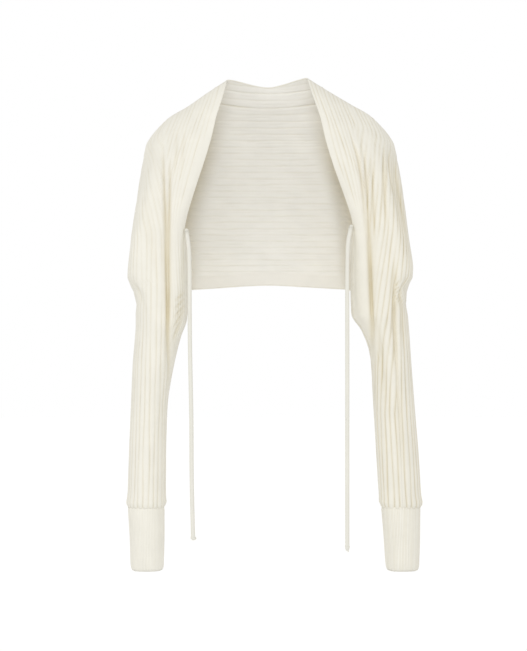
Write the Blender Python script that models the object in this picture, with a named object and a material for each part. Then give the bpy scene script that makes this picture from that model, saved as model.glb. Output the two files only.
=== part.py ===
"""Knitted shrug, worn: a hollow cloth form from cuff to cuff, open at neck, front, hem and cuffs.

Metres, +Z up, -Y to the front, +X to the wearer's left. The origin lies midway between the two
side-neck points, on the shoulder line, where the wearer's shoulders carry the garment.

The cloth is one wall of constant thickness, cut in three: a back, and two pieces that are front
and sleeve in one. They meet along the shoulder ridge and down the back of each armhole. Each front
and sleeve is held in three solids, so that each is simple where it bends round the arm. A column
is a line of the knit that runs from the back over the shoulder and down to a cuff; a share of 0
is the neck and front edge, and a share of 1 is the hem, the underarm edge and the sleeve seam.
"""
import bpy
import bmesh
import numpy as np

for old in list(bpy.data.objects):
    bpy.data.objects.remove(old, do_unlink=True)

WALL = 0.0018            # thickness of the rib knit
CUFF_WALL = 0.0026       # double rib at the cuffs
SEAM_GAP = 0.0003        # clearance between two pieces at a seam
TIE_DIAMETER = 0.0062    # knitted cord

COLUMNS = 28             # columns of the knit in each cloth piece
YOKE_ROWS = 9            # rows from the shoulder seam to the sleeve's first full ring
RING_STEPS = (1, 2, 2, 2, 1, 2, 2, 2, 2, 1)   # rows between one ring of the table and the next
STRETCHES = ("front_sleeve_", "sleeve_elbow_", "sleeve_forearm_")   # one cut piece, in three solids
STRETCH_ENDS = (12, 17)  # rows where one stretch ends and the next begins
BACK_ROWS = 6            # rows from an armhole seam to the centre back
CUFF_ROWS = 3
TIE_POINTS = 42
TIE_CROWDING = 1.25      # above 1, the points crowd towards the bend at the front edge
TIE_RESOLUTION = 2

IVORY = (0.86, 0.83, 0.75, 1.0)

# Shoulder seam and back armhole: where a column crosses from the back to the sleeve, and the
# direction it runs there. run and carry are how far that direction holds into sleeve and back.
# In every table a column named for a side is that side's own, and the others serve both.
SEAM_NAMES = ("share", "out_right", "out_left", "back", "up_right", "up_left",
              "to_out", "to_back", "to_up", "run", "carry")
SEAM = (
    (0.00, 0.0665, 0.0640, 0.000, 0.0000, 0.0030, 0.05, -0.90, -0.42, 0.160, 0.060),
    (0.07, 0.0985, 0.0985, 0.004, -0.0205, -0.0180, 0.14, -0.90, -0.38, 0.170, 0.090),
    (0.13, 0.1300, 0.1330, 0.007, -0.0395, -0.0370, 0.24, -0.88, -0.38, 0.180, 0.110),
    (0.19, 0.1620, 0.1670, 0.014, -0.0575, -0.0560, 0.42, -0.80, -0.42, 0.180, 0.120),
    (0.28, 0.1800, 0.1860, 0.040, -0.0880, -0.0860, 0.70, -0.60, -0.40, 0.160, 0.120),
    (0.42, 0.1790, 0.1840, 0.066, -0.1380, -0.1360, 0.72, -0.56, -0.40, 0.110, 0.110),
    (0.58, 0.1710, 0.1750, 0.080, -0.1930, -0.1920, 0.58, -0.68, -0.44, 0.080, 0.100),
    (0.76, 0.1620, 0.1650, 0.083, -0.2560, -0.2550, 0.36, -0.90, -0.24, 0.060, 0.090),
    (1.00, 0.1520, 0.1540, 0.076, -0.3400, -0.3390, 0.05, -0.99, 0.10, 0.060, 0.080),
)

# Centre back: depth and height of each column where it crosses the middle of the back.
SPINE_NAMES = ("share", "back", "up")
SPINE = (
    (0.00, 0.050, -0.007),
    (0.08, 0.062, -0.033),
    (0.15, 0.077, -0.055),
    (0.30, 0.096, -0.103),
    (0.50, 0.103, -0.168),
    (0.75, 0.097, -0.248),
    (1.00, 0.086, -0.328),
)

# Rings of the sleeve, from the tie down to the cuff: reach towards and away from the body, front
# and back, how far round the seam lies from the innermost point, and how far the back hangs lower.
RING_NAMES = ("up_right", "up_left", "inner_right", "inner_left", "outer_right", "outer_left",
              "front", "back", "seam_turn", "droop", "square")
RINGS = (
    (-0.2400, -0.2340, 0.1275, 0.1300, 0.2180, 0.2240, -0.088, 0.058, 38.0, 0.046, 4.0),
    (-0.2750, -0.2720, 0.1285, 0.1325, 0.2215, 0.2290, -0.087, 0.057, 34.0, 0.036, 3.2),
    (-0.3090, -0.3070, 0.1285, 0.1330, 0.2240, 0.2305, -0.086, 0.054, 30.0, 0.028, 2.8),
    (-0.3450, -0.3420, 0.1285, 0.1330, 0.2115, 0.2205, -0.083, 0.044, 26.0, 0.020, 2.5),
    (-0.3790, -0.3710, 0.1300, 0.1340, 0.2115, 0.2230, -0.080, 0.036, 22.0, 0.012, 2.3),
    (-0.4080, -0.4000, 0.1395, 0.1510, 0.2130, 0.2250, -0.076, 0.029, 22.0, 0.006, 2.2),
    (-0.4460, -0.4400, 0.1490, 0.1640, 0.2160, 0.2275, -0.073, 0.020, 16.0, 0.003, 2.2),
    (-0.5230, -0.5150, 0.1610, 0.1685, 0.2190, 0.2330, -0.072, 0.008, 10.0, 0.000, 2.1),
    (-0.6000, -0.6000, 0.1630, 0.1735, 0.2220, 0.2400, -0.073, 0.000, 6.0, 0.000, 2.1),
    (-0.6710, -0.6710, 0.1630, 0.1780, 0.2240, 0.2440, -0.074, -0.006, 0.0, 0.000, 2.1),
    (-0.6795, -0.6795, 0.1655, 0.1810, 0.2215, 0.2410, -0.071, -0.010, 0.0, 0.000, 2.1),
)
ARRIVE = (0.150, 0.100, 0.030)   # how far the sleeve's run reaches up at shares 0, 0.5 and 1

# Cuffs: a straight ribbed tube, from the sleeve's last ring to its open end.
CUFF_NAMES = ("up", "inner_right", "inner_left", "outer_right", "outer_left", "front", "back")
CUFFS = (
    (-0.6798, 0.1655, 0.1810, 0.2215, 0.2410, -0.071, -0.010),
    (-0.7300, 0.1658, 0.1850, 0.2190, 0.2400, -0.071, -0.012),
    (-0.7820, 0.1668, 0.1885, 0.2165, 0.2385, -0.070, -0.014),
)

# Largest fold on the front of each sleeve: where the trough's middle runs at its top and bottom,
# half its width, the heights it starts and ends at, and its depth.
FOLD_NAMES = ("out_top", "out_bottom", "half_width", "top", "bottom", "depth")
FOLDS = {
    "right": (0.1640, 0.1590, 0.0140, -0.165, -0.425, 0.010),
    "left": (0.1600, 0.1680, 0.0140, -0.185, -0.405, 0.010),
}
FRONT_SHARE = 0.45       # columns past this share lie behind the sleeve's outer side

# Free ties: route points of each cord, front-edge end first (across, back, up).
TIE_ROUTES = {
    "right": (
        (-0.1290, -0.0743, -0.2385),
        (-0.1275, -0.0764, -0.2480),
        (-0.1256, -0.0785, -0.2610),
        (-0.1243, -0.0798, -0.2760),
        (-0.1237, -0.0805, -0.3000),
        (-0.1236, -0.0805, -0.3400),
        (-0.1229, -0.0805, -0.4250),
        (-0.1208, -0.0800, -0.5400),
        (-0.1203, -0.0800, -0.6300),
        (-0.1180, -0.0800, -0.7290),
    ),
    "left": (
        (0.1319, -0.0742, -0.2325),
        (0.1300, -0.0764, -0.2395),
        (0.1277, -0.0785, -0.2495),
        (0.1259, -0.0798, -0.2640),
        (0.1250, -0.0805, -0.2900),
        (0.1247, -0.0805, -0.3400),
        (0.1247, -0.0805, -0.4300),
        (0.1247, -0.0800, -0.5500),
        (0.1247, -0.0800, -0.6500),
        (0.1248, -0.0800, -0.7455),
    ),
}
ACROSS = {"right": -1.0, "left": 1.0}


def unit(vectors):
    lengths = np.linalg.norm(vectors, axis=-1, keepdims=True)
    return vectors / np.maximum(lengths, 1e-12)


def named(names, rows, side=""):
    """Turn a table into one array for each column that is this side's own or serves both sides."""
    table = {}
    for name, column in zip(names, np.array(rows, dtype=float).T):
        stem, _, last_word = name.rpartition("_")
        if last_word == side:
            table[stem] = column
        elif last_word not in ACROSS:
            table[name] = column
    return table


def smooth(stations, values, where):
    """Smooth curve through a table's column, without overshoot at flat or turning stretches."""
    stations = np.asarray(stations, dtype=float)
    values = np.asarray(values, dtype=float)
    where = np.clip(where, stations.min(), stations.max())
    steps = np.diff(stations)
    slopes = np.diff(values) / steps
    tangents = np.empty_like(values)
    tangents[0], tangents[-1] = slopes[0], slopes[-1]
    for i in range(1, len(values) - 1):
        before, after = slopes[i - 1], slopes[i]
        if before * after <= 0.0:
            tangents[i] = 0.0
        else:
            weight_a = 2 * steps[i] + steps[i - 1]
            weight_b = steps[i] + 2 * steps[i - 1]
            tangents[i] = (weight_a + weight_b) / (weight_a / before + weight_b / after)
    cell = np.clip(np.searchsorted(stations, where, side="right") - 1, 0, len(steps) - 1)
    t = (where - stations[cell]) / steps[cell]
    return hermite(values[cell], tangents[cell] * steps[cell],
                   values[cell + 1], tangents[cell + 1] * steps[cell], t)


def hermite(start, leave, end, arrive, t):
    """Cubic from start to end with the given end tangents."""
    return ((2 * t ** 3 - 3 * t ** 2 + 1) * start + (t ** 3 - 2 * t ** 2 + t) * leave
            + (-2 * t ** 3 + 3 * t ** 2) * end + (t ** 3 - t ** 2) * arrive)


def seam_curve(side, shares):
    """Points on the shoulder seam and back armhole, and the unit direction the columns run there."""
    table = named(SEAM_NAMES, SEAM, side)

    def read(name):
        return smooth(table["share"], table[name], shares)

    points = np.stack([ACROSS[side] * read("out"), read("back"), read("up")], axis=-1)
    run = unit(np.stack([ACROSS[side] * read("to_out"), read("to_back"), read("to_up")], axis=-1))
    return points, run, read("run"), read("carry")


def ring_points(ring, side, shares):
    """One ring of the sleeve, read at equal parts of its length from the sleeve seam round."""
    steps = np.linspace(0.0, 1.0, 181)
    angle = np.radians(ring["seam_turn"]) + 2 * np.pi * steps
    power = 2.0 / ring["square"]
    toward = np.sign(np.cos(angle)) * np.abs(np.cos(angle)) ** power
    front = np.sign(np.sin(angle)) * np.abs(np.sin(angle)) ** power
    middle_out = 0.5 * (ring["inner"] + ring["outer"])
    middle_back = 0.5 * (ring["front"] + ring["back"])
    out = middle_out - toward * 0.5 * (ring["outer"] - ring["inner"])
    back = middle_back - front * 0.5 * (ring["back"] - ring["front"])
    behind = 0.5 - 0.5 * np.cos(2 * np.pi * steps ** 1.25)
    up = ring["up"] - ring["droop"] * behind
    points = np.stack([ACROSS[side] * out, back, up], axis=-1)
    gone = np.concatenate([[0.0], np.cumsum(np.linalg.norm(np.diff(points, axis=0), axis=1))])
    wanted = shares * gone[-1]
    return np.stack([np.interp(wanted, gone, points[:, k]) for k in range(3)], axis=-1)


def sleeve_ring(side, place, shares):
    """Ring at a fractional row of the table of rings."""
    rows = np.arange(len(RINGS))
    ring = {name: float(smooth(rows, column, np.array([place]))[0])
            for name, column in named(RING_NAMES, RINGS, side).items()}
    return ring_points(ring, side, shares)


def fold_depth(side, points, shares):
    """How far the largest fold pushes each point of a row in."""
    fold = dict(zip(FOLD_NAMES, FOLDS[side]))
    out, up = np.abs(points[:, 0]), points[:, 2]
    along = np.clip((fold["top"] - up) / (fold["top"] - fold["bottom"]), 0.0, 1.0)
    middle = fold["out_top"] + (fold["out_bottom"] - fold["out_top"]) * along
    across = (out - middle) / fold["half_width"]
    depth = fold["depth"] * np.sin(np.pi * along) ** 0.7 * np.exp(-across ** 2)
    return np.where(shares < FRONT_SHARE, depth, 0.0)


def sleeve_grid(side, shares):
    """Rows of points of a front and sleeve, from the shoulder seam to the cuff."""
    seam, run, run_length, _ = seam_curve(side, shares)
    tie_ring = sleeve_ring(side, 0.0, shares)
    below = sleeve_ring(side, 0.5, shares)
    reach = np.interp(shares, (0.0, 0.5, 1.0), ARRIVE)[:, None]
    arrive = unit(below - tie_ring) * reach
    rows = []
    for step in range(YOKE_ROWS):
        t = step / YOKE_ROWS
        rows.append(hermite(seam, run * run_length[:, None], tie_ring, arrive, t))
    for index, parts in enumerate(RING_STEPS):
        for part in range(parts):
            rows.append(sleeve_ring(side, index + part / parts, shares))
    rows.append(sleeve_ring(side, float(len(RING_STEPS)), shares))
    rows[0] = seam + run * 0.5 * SEAM_GAP
    return np.array(rows)


def grid_normals(points, closed_from=None):
    """Unit normals of a grid of points. Rows from closed_from on are rings whose ends meet."""
    down = np.gradient(points, axis=0)
    around = np.gradient(points, axis=1)
    if closed_from is not None:
        for row in range(closed_from, len(points)):
            joined = points[row, 1] - points[row, -2]
            around[row, 0] = around[row, -1] = 0.5 * joined
        mean = 0.5 * (down[closed_from + 1:, 0] + down[closed_from + 1:, -1])
        down[closed_from + 1:, 0] = down[closed_from + 1:, -1] = mean
    return unit(np.cross(around, down))


def wall(name, points, normals, thickness, closed_from=None):
    """One closed wall of cloth around a grid of points, half its thickness to each side."""
    row_count, column_count = points.shape[:2]
    mesh = bpy.data.meshes.new(name)
    shape = bmesh.new()
    sides = []
    for half in (0.5 * thickness, -0.5 * thickness):
        layer = []
        for row in range(row_count):
            ring = closed_from is not None and row >= closed_from
            verts = [shape.verts.new(points[row, c] + normals[row, c] * half)
                     for c in range(column_count - 1 if ring else column_count)]
            if ring:
                verts.append(verts[0])
            layer.append(verts)
        sides.append(layer)
    outer, inner = sides
    for row in range(row_count - 1):
        for c in range(column_count - 1):
            shape.faces.new((outer[row][c], outer[row][c + 1], outer[row + 1][c + 1], outer[row + 1][c]))
            shape.faces.new((inner[row][c], inner[row + 1][c], inner[row + 1][c + 1], inner[row][c + 1]))
    across_wall = {a: b for a, b in zip(sum(outer, []), sum(inner, []))}
    for edge in [edge for edge in shape.edges if edge.is_boundary and edge.verts[0] in across_wall]:
        start, end = edge.verts
        shape.faces.new((start, end, across_wall[end], across_wall[start]))
    bmesh.ops.recalc_face_normals(shape, faces=shape.faces)
    shape.to_mesh(mesh)
    shape.free()
    mesh.shade_smooth()
    mesh.set_sharp_from_angle(angle=np.radians(50))
    return mesh


def seam_normals(side, shares):
    """Normals that back and sleeve share at their seam, so that their cut edges stay parallel."""
    points, run, _, _ = seam_curve(side, shares)
    return ACROSS[side] * unit(np.cross(run, np.gradient(points, axis=0)))


def front_sleeve(side):
    """Front and sleeve, cut as one: open above the tie, a tube below it. A mesh for each stretch."""
    shares = np.linspace(0.0, 1.0, COLUMNS + 1)
    points = sleeve_grid(side, shares)
    outward = -ACROSS[side]
    normals = outward * grid_normals(points, YOKE_ROWS)
    for row in range(1, len(points)):
        points[row] -= normals[row] * fold_depth(side, points[row], shares)[:, None]
    normals = outward * grid_normals(points, YOKE_ROWS)
    normals[0] = seam_normals(side, shares)
    normals[-1, :, 2] = 0.0
    normals[-1] = unit(normals[-1])
    down = unit(np.gradient(points, axis=0))
    last_row = len(points) - 1
    meshes = {}
    for name, first, last in zip(STRETCHES, (0, *STRETCH_ENDS), (*STRETCH_ENDS, last_row)):
        stretch = points[first:last + 1].copy()
        if first > 0:
            stretch[0] += down[first] * 0.5 * SEAM_GAP
        if last < last_row:
            stretch[-1] -= down[last] * 0.5 * SEAM_GAP
        meshes[name + side] = wall(name + side, stretch, normals[first:last + 1], WALL,
                                   max(YOKE_ROWS - first, 0))
    return meshes


def back_grid(shares):
    """Rows of points of the back, from the right armhole seam across to the left one."""
    spine = named(SPINE_NAMES, SPINE)
    middle = np.stack([np.zeros_like(shares), smooth(spine["share"], spine["back"], shares),
                       smooth(spine["share"], spine["up"], shares)], axis=-1)
    rows = []
    for side in ("right", "left"):
        seam, run, _, carry = seam_curve(side, shares)
        half = [seam - run * 0.5 * SEAM_GAP]
        level = np.zeros_like(seam)
        level[:, 0] = -ACROSS[side] * np.abs(seam[:, 0])
        for step in range(1, BACK_ROWS):
            half.append(hermite(seam, -run * carry[:, None], middle, level, step / BACK_ROWS))
        rows += half + [middle] if side == "right" else half[::-1]
    return np.array(rows)


def back():
    """Back panel, from the back neck edge to the hem."""
    shares = np.linspace(0.0, 1.0, COLUMNS + 1)
    points = back_grid(shares)
    normals = -grid_normals(points)
    normals[0] = seam_normals("right", shares)
    normals[-1] = seam_normals("left", shares)
    return wall("back", points, normals, WALL)


def cuff(side):
    """Straight ribbed tube, open at the wrist."""
    shares = np.linspace(0.0, 1.0, COLUMNS + 1)
    table = named(CUFF_NAMES, CUFFS, side)
    points = []
    for height in np.linspace(table["up"][0], table["up"][-1], CUFF_ROWS + 1):
        ring = {name: float(smooth(-table["up"], column, np.array([-height]))[0])
                for name, column in table.items()}
        ring.update(seam_turn=0.0, droop=0.0, square=2.1)
        points.append(ring_points(ring, side, shares))
    points = np.array(points)
    normals = -ACROSS[side] * grid_normals(points, 0)
    normals[0, :, 2] = normals[-1, :, 2] = 0.0
    return wall("cuff_" + side, points, unit(normals), CUFF_WALL, 0)


def tie(side):
    """Knitted cord along a smooth curve through its route points."""
    route = np.array(TIE_ROUTES[side])
    gone = np.concatenate([[0.0], np.cumsum(np.linalg.norm(np.diff(route, axis=0), axis=1))])
    heading = np.gradient(route, gone, axis=0)
    where = gone[-1] * np.linspace(0.0, 1.0, TIE_POINTS) ** TIE_CROWDING
    cell = np.clip(np.searchsorted(gone, where, side="right") - 1, 0, len(gone) - 2)
    span = (gone[cell + 1] - gone[cell])[:, None]
    points = hermite(route[cell], heading[cell] * span, route[cell + 1], heading[cell + 1] * span,
                     (where - gone[cell])[:, None] / span)
    curve = bpy.data.curves.new("tie_" + side, "CURVE")
    curve.dimensions = "3D"
    curve.bevel_depth = 0.5 * TIE_DIAMETER
    curve.bevel_resolution = TIE_RESOLUTION
    curve.use_fill_caps = True
    line = curve.splines.new("POLY")
    line.points.add(TIE_POINTS - 1)
    for spline_point, point in zip(line.points, points):
        spline_point.co = (*point, 1.0)
    return curve


def knit_material(name, roughness):
    material = bpy.data.materials.new(name)
    material.use_nodes = True
    shader = material.node_tree.nodes["Principled BSDF"]
    shader.inputs["Base Color"].default_value = IVORY
    shader.inputs["Roughness"].default_value = roughness
    shader.inputs["Metallic"].default_value = 0.0
    return material


def place(name, data, material):
    piece = bpy.data.objects.new(name, data)
    data.materials.append(material)
    bpy.context.scene.collection.objects.link(piece)


place("back", back(), knit_material("rib_knit_back", 0.9))
for side_name in ("right", "left"):
    for stretch_name, stretch_mesh in front_sleeve(side_name).items():
        place(stretch_name, stretch_mesh, knit_material("rib_knit_" + stretch_name, 0.9))
    place("cuff_" + side_name, cuff(side_name), knit_material("fine_rib_cuff_" + side_name, 0.85))
    place("tie_" + side_name, tie(side_name), knit_material("knitted_cord_" + side_name, 0.85))
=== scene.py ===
import bmesh
import bpy
import numpy as np
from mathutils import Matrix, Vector


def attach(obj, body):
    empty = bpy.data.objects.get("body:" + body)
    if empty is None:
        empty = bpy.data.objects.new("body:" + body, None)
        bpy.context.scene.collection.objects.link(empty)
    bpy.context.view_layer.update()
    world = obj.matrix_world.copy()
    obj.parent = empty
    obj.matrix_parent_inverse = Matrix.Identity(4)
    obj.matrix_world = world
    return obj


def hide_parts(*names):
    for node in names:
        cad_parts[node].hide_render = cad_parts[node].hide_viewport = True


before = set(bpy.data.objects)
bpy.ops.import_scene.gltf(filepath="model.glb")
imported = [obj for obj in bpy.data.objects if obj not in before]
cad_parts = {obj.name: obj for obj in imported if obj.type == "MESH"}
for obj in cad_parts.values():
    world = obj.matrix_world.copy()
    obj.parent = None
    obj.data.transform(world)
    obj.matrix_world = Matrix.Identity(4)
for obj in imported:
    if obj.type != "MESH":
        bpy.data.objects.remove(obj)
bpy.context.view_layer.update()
print("frame loaded")

# Metres, +Z up, -Y out of the front, +X to the wearer's left. A column is a line of the knit from the
# back over the shoulder to a cuff. Share 0 is the neck and front edge, share 1 the hem and sleeve seam.
across = {"right": -1.0, "left": 1.0}

seamNames = ("share", "out_right", "out_left", "back", "up_right", "up_left",
             "to_out", "to_back", "to_up", "run", "carry")
seamTable = (
    (0.00, 0.0665, 0.0640, 0.000, 0.0000, 0.0030, 0.05, -0.90, -0.42, 0.160, 0.060),
    (0.07, 0.0985, 0.0985, 0.004, -0.0205, -0.0180, 0.14, -0.90, -0.38, 0.170, 0.090),
    (0.13, 0.1300, 0.1330, 0.007, -0.0420, -0.0380, 0.24, -0.88, -0.38, 0.180, 0.110),
    (0.19, 0.1620, 0.1670, 0.014, -0.0610, -0.0580, 0.42, -0.80, -0.42, 0.180, 0.120),
    (0.28, 0.1800, 0.1860, 0.040, -0.0880, -0.0860, 0.70, -0.60, -0.40, 0.160, 0.120),
    (0.42, 0.1790, 0.1840, 0.066, -0.1380, -0.1360, 0.72, -0.56, -0.40, 0.110, 0.110),
    (0.58, 0.1710, 0.1750, 0.080, -0.1930, -0.1920, 0.58, -0.68, -0.44, 0.080, 0.100),
    (0.76, 0.1620, 0.1650, 0.083, -0.2560, -0.2550, 0.36, -0.90, -0.24, 0.060, 0.090),
    (1.00, 0.1520, 0.1540, 0.076, -0.3400, -0.3390, 0.05, -0.99, 0.10, 0.060, 0.080),
)
spineNames = ("share", "back", "up")
spineTable = (
    (0.00, 0.050, -0.007),
    (0.08, 0.062, -0.033),
    (0.15, 0.077, -0.055),
    (0.30, 0.096, -0.103),
    (0.50, 0.103, -0.168),
    (0.75, 0.097, -0.248),
    (1.00, 0.086, -0.328),
)
ringNames = ("up_right", "up_left", "inner_right", "inner_left", "outer_right", "outer_left",
             "front", "back", "seam_turn", "droop", "square")
ringTable = (
    (-0.2400, -0.2340, 0.1275, 0.1300, 0.2180, 0.2240, -0.088, 0.058, 38.0, 0.046, 4.0),
    (-0.2750, -0.2720, 0.1285, 0.1325, 0.2215, 0.2290, -0.087, 0.057, 34.0, 0.036, 4.0),
    (-0.3090, -0.3070, 0.1285, 0.1330, 0.2240, 0.2305, -0.086, 0.054, 30.0, 0.028, 3.8),
    (-0.3450, -0.3420, 0.1285, 0.1330, 0.2115, 0.2205, -0.083, 0.044, 26.0, 0.020, 3.2),
    (-0.3790, -0.3710, 0.1300, 0.1340, 0.2115, 0.2230, -0.080, 0.036, 22.0, 0.012, 2.5),
    (-0.4080, -0.4000, 0.1395, 0.1510, 0.2130, 0.2250, -0.076, 0.029, 22.0, 0.006, 2.2),
    (-0.4460, -0.4400, 0.1490, 0.1640, 0.2160, 0.2275, -0.073, 0.020, 16.0, 0.003, 2.2),
    (-0.5230, -0.5150, 0.1610, 0.1685, 0.2190, 0.2330, -0.072, 0.008, 10.0, 0.000, 2.1),
    (-0.6000, -0.6000, 0.1630, 0.1735, 0.2220, 0.2400, -0.073, 0.000, 6.0, 0.000, 2.1),
    (-0.6710, -0.6710, 0.1630, 0.1780, 0.2240, 0.2440, -0.074, -0.006, 0.0, 0.000, 2.1),
    (-0.6795, -0.6795, 0.1655, 0.1810, 0.2215, 0.2410, -0.071, -0.010, 0.0, 0.000, 2.1),
)
cuffNames = ("up", "inner_right", "inner_left", "outer_right", "outer_left", "front", "back")
cuffTable = (
    (-0.6798, 0.1655, 0.1810, 0.2215, 0.2410, -0.071, -0.010),
    (-0.7300, 0.1658, 0.1850, 0.2190, 0.2400, -0.071, -0.012),
    (-0.7820, 0.1668, 0.1885, 0.2165, 0.2385, -0.070, -0.014),
)
arriveReach = (0.150, 0.100, 0.030)
ringSteps = 361
droopPower = 1.25   # above 1, a ring droops most past its middle
tieRoutes = {
    "right": (
        (-0.1290, -0.0743, -0.2385), (-0.1275, -0.0764, -0.2480), (-0.1256, -0.0785, -0.2610),
        (-0.1243, -0.0798, -0.2760), (-0.1237, -0.0805, -0.3000), (-0.1236, -0.0805, -0.3400),
        (-0.1229, -0.0805, -0.4250), (-0.1208, -0.0800, -0.5400), (-0.1203, -0.0800, -0.6300),
        (-0.1180, -0.0800, -0.7290),
    ),
    "left": (
        (0.1319, -0.0742, -0.2325), (0.1300, -0.0764, -0.2395), (0.1277, -0.0785, -0.2495),
        (0.1259, -0.0798, -0.2640), (0.1250, -0.0805, -0.2900), (0.1247, -0.0805, -0.3400),
        (0.1247, -0.0805, -0.4300), (0.1247, -0.0800, -0.5500), (0.1247, -0.0800, -0.6500),
        (0.1248, -0.0800, -0.7455),
    ),
}

cameraSettings = {"place": (-0.0072, -5.0, -0.391), "lens": 172.8, "sensor": 36.0}


def makeCamera(settings):
    data = bpy.data.cameras.new("camera")
    data.sensor_width = settings["sensor"]
    data.lens = settings["lens"]
    camera = bpy.data.objects.new("camera", data)
    camera.location = settings["place"]
    camera.rotation_euler = (np.pi / 2, 0.0, 0.0)   # looks level along +Y
    bpy.context.scene.collection.objects.link(camera)
    bpy.context.scene.camera = camera


makeCamera(cameraSettings)
print("camera set")


def unit(vectors):
    lengths = np.linalg.norm(vectors, axis=-1, keepdims=True)
    return vectors / np.maximum(lengths, 1e-12)


def lengthAlong(line):
    # metres from a line's start to each of its points
    return np.concatenate([[0.0], np.cumsum(np.linalg.norm(np.diff(line, axis=0), axis=1))])


def bell(x, width):
    # 1 at 0, soft down to 0 beyond the width
    return np.exp(-(x / width) ** 2)


def ridge(gap, height, place, width):
    # a soft ridge, or a trough where its height is negative, along the line where gap is place
    return height * bell(gap - place, width)


def named(names, rows, side=""):
    table = {}
    for name, column in zip(names, np.array(rows, dtype=float).T):
        stem, _, lastWord = name.rpartition("_")
        if lastWord == side:
            table[stem] = column
        elif lastWord not in across:
            table[name] = column
    return table


def hermite(start, leave, end, arrive, t):
    return ((2 * t ** 3 - 3 * t ** 2 + 1) * start + (t ** 3 - 2 * t ** 2 + t) * leave
            + (-2 * t ** 3 + 3 * t ** 2) * end + (t ** 3 - t ** 2) * arrive)


def smooth(stations, values, where):
    # monotone cubic through a table's column
    where = np.clip(where, stations.min(), stations.max())
    steps = np.diff(stations)
    slopes = np.diff(values) / steps
    tangents = np.empty_like(values)
    tangents[0], tangents[-1] = slopes[0], slopes[-1]
    for i in range(1, len(values) - 1):
        before, after = slopes[i - 1], slopes[i]
        if before * after <= 0.0:
            tangents[i] = 0.0
        else:
            weightA = 2 * steps[i] + steps[i - 1]
            weightB = steps[i] + 2 * steps[i - 1]
            tangents[i] = (weightA + weightB) / (weightA / before + weightB / after)
    cell = np.clip(np.searchsorted(stations, where, side="right") - 1, 0, len(steps) - 1)
    t = (where - stations[cell]) / steps[cell]
    return hermite(values[cell], tangents[cell] * steps[cell],
                   values[cell + 1], tangents[cell + 1] * steps[cell], t)


def ease(low, high, x):
    # 0 below low, 1 above high, smooth between
    t = np.clip((x - low) / (high - low), 0.0, 1.0)
    return t * t * (3 - 2 * t)


def seamCurve(side, shares):
    table = named(seamNames, seamTable, side)
    read = {name: smooth(table["share"], column, shares) for name, column in table.items()}
    points = np.stack([across[side] * read["out"], read["back"], read["up"]], axis=-1)
    run = unit(np.stack([across[side] * read["to_out"], read["to_back"], read["to_up"]], axis=-1))
    return points, run, read["run"], read["carry"]


def ringPoints(ring, side, shares):
    steps = np.linspace(0.0, 1.0, ringSteps)
    angle = np.radians(ring["seam_turn"]) + 2 * np.pi * steps
    power = 2.0 / ring["square"]
    toward = np.sign(np.cos(angle)) * np.abs(np.cos(angle)) ** power
    front = np.sign(np.sin(angle)) * np.abs(np.sin(angle)) ** power
    out = 0.5 * (ring["inner"] + ring["outer"]) - toward * 0.5 * (ring["outer"] - ring["inner"])
    back = 0.5 * (ring["front"] + ring["back"]) - front * 0.5 * (ring["back"] - ring["front"])
    up = ring["up"] - ring["droop"] * (0.5 - 0.5 * np.cos(2 * np.pi * steps ** droopPower))
    points = np.stack([across[side] * out, back, up], axis=-1)
    gone = lengthAlong(points)
    return np.stack([np.interp(shares * gone[-1], gone, points[:, k]) for k in range(3)], axis=-1)


def sleeveRing(side, place, shares):
    rows = np.arange(len(ringTable), dtype=float)
    ring = {name: float(smooth(rows, column, np.array([place]))[0])
            for name, column in named(ringNames, ringTable, side).items()}
    return ringPoints(ring, side, shares)


def sleeveSurface(side, shares, yokeRows, heights):
    # rows from the shoulder seam to the tie ring, then one ring for each height
    seam, run, runLength, _ = seamCurve(side, shares)
    tieRing = sleeveRing(side, 0.0, shares)
    reach = np.interp(shares, (0.0, 0.5, 1.0), arriveReach)[:, None]
    arrive = unit(sleeveRing(side, 0.5, shares) - tieRing) * reach
    rows = [hermite(seam, run * runLength[:, None], tieRing, arrive, t)
            for t in np.linspace(0.0, 1.0, yokeRows, endpoint=False)]
    ups = named(ringNames, ringTable, side)["up"]
    for height in heights:
        place = np.interp(-height, -ups, np.arange(len(ups)))
        rows.append(sleeveRing(side, place, shares))
    return np.array(rows)


def backSurface(shares, halfRows):
    spine = named(spineNames, spineTable)
    middle = np.stack([np.zeros_like(shares), smooth(spine["share"], spine["back"], shares),
                       smooth(spine["share"], spine["up"], shares)], axis=-1)
    rows = []
    for side in ("right", "left"):
        seam, run, _, carry = seamCurve(side, shares)
        level = np.zeros_like(seam)
        level[:, 0] = -across[side] * np.abs(seam[:, 0])
        half = [hermite(seam, -run * carry[:, None], middle, level, t)
                for t in np.linspace(0.0, 1.0, halfRows, endpoint=False)]
        rows += half + [middle] if side == "right" else half[::-1]
    return np.array(rows)


def cuffSurface(side, shares, heights):
    table = named(cuffNames, cuffTable, side)
    rows = []
    for height in heights:
        ring = {name: float(smooth(-table["up"], column, np.array([-height]))[0])
                for name, column in table.items()}
        ring.update(up=height, seam_turn=0.0, droop=0.0, square=2.1)
        rows.append(ringPoints(ring, side, shares))
    return np.array(rows)


def gridNormals(points, closedFrom=None):
    # unit normals; rows from closedFrom on are rings whose ends meet
    down = np.gradient(points, axis=0)
    around = np.gradient(points, axis=1)
    if closedFrom is not None:
        rings = slice(closedFrom, None)
        joined = 0.5 * (points[rings, 1] - points[rings, -2])
        around[rings, 0] = around[rings, -1] = joined
        rings = slice(closedFrom + 1, None)
        mean = 0.5 * (down[rings, 0] + down[rings, -1])
        down[rings, 0] = down[rings, -1] = mean
    return unit(np.cross(around, down))


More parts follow.
